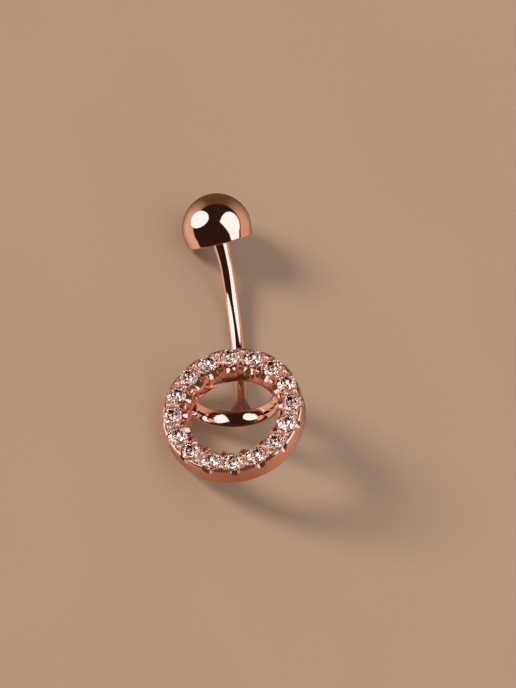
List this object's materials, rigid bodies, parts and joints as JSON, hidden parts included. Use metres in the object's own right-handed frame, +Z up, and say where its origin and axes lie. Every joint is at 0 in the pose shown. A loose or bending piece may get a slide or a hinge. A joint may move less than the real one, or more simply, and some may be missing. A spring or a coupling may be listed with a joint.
{
  "type": "belly button ring",
  "caption": "Curved piercing bar with a screw-on dome at one end and, at the other, an open ring of round clear stones carried on an arched bridge.",
  "frame": {"origin": "on the ground under the middle of the part as it lies", "axes": "+Z up, +Y from the ring towards the dome along the ground"},
  "size_m": [0.0079, 0.0246, 0.0088],
  "materials": {
    "rose_gold": "mirror-polished rose gold plate",
    "clear_stone": "clear faceted brilliant"
  },
  "bodies": {
    "jewel": {"bar_with_ring": "rose_gold", "stone_01": "clear_stone", "stone_02": "clear_stone", "stone_03": "clear_stone", "stone_04": "clear_stone", "stone_05": "clear_stone", "stone_06": "clear_stone", "stone_07": "clear_stone", "stone_08": "clear_stone", "stone_09": "clear_stone", "stone_10": "clear_stone", "stone_11": "clear_stone", "stone_12": "clear_stone", "stone_13": "clear_stone", "stone_14": "clear_stone", "stone_15": "clear_stone", "stone_16": "clear_stone"},
    "dome": {"dome_end": "rose_gold"}
  },
  "joints": [
    {"name": "dome_unscrews", "type": "slide", "parent": "jewel", "child": "dome", "axis": [-0.5922, 0.7472, 0.3017], "range_m": [0, 0.0022]}
  ]
}
